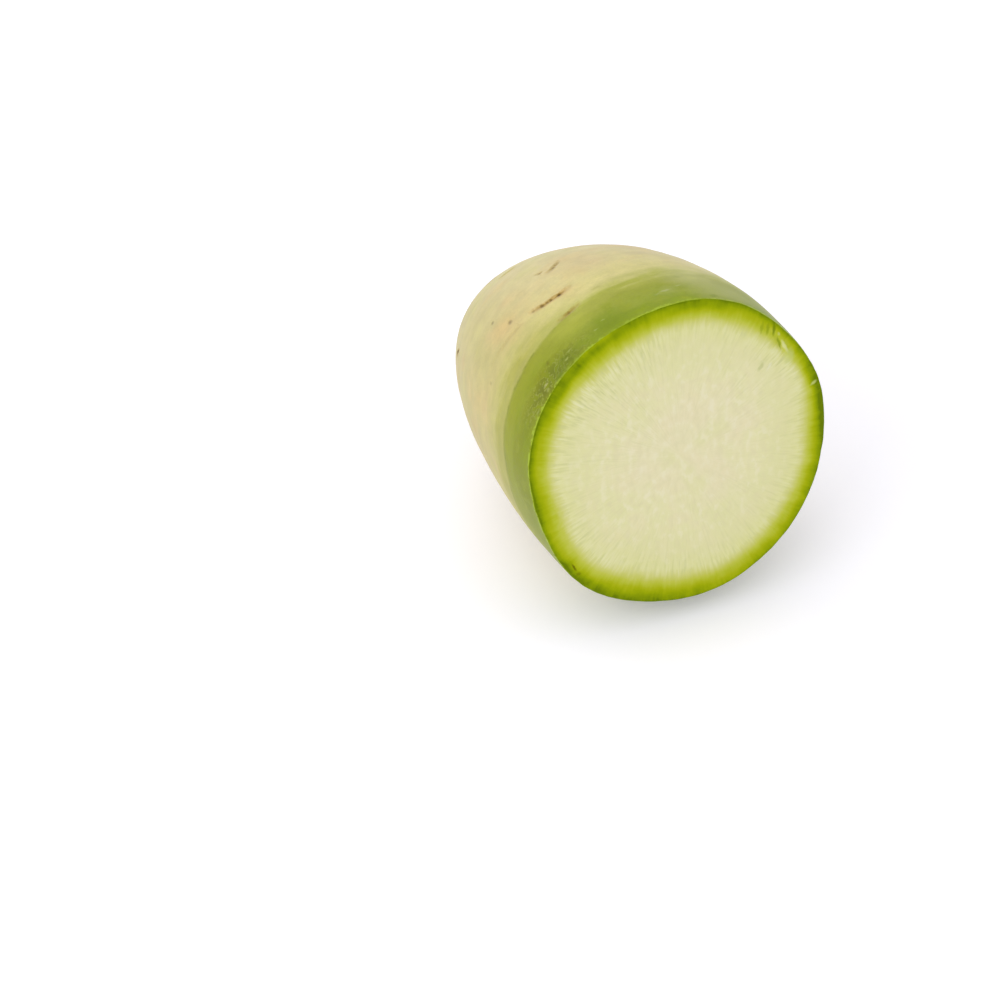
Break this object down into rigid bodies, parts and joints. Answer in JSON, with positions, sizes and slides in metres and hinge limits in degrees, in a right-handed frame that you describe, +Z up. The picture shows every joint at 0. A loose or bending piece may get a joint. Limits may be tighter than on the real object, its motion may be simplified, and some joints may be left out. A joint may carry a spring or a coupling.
{
  "type": "cut radish half",
  "caption": "Root half of a large green-shouldered radish, cut straight across and lying on its side on a small flat spot, with the pale cut face raised a little.",
  "frame": {"origin": "middle of the outline seen from above, at the height of the surface that the half lies on", "axes": "+Z up; +X is the level direction in which the cut face looks, and the root end points along -X; +Y to the left of someone looking along +X"},
  "size_m": [0.1342, 0.0986, 0.1082],
  "materials": {
    "radish": "satin"
  },
  "bodies": {
    "root": {"radish_half": "radish"}
  },
  "joints": []
}
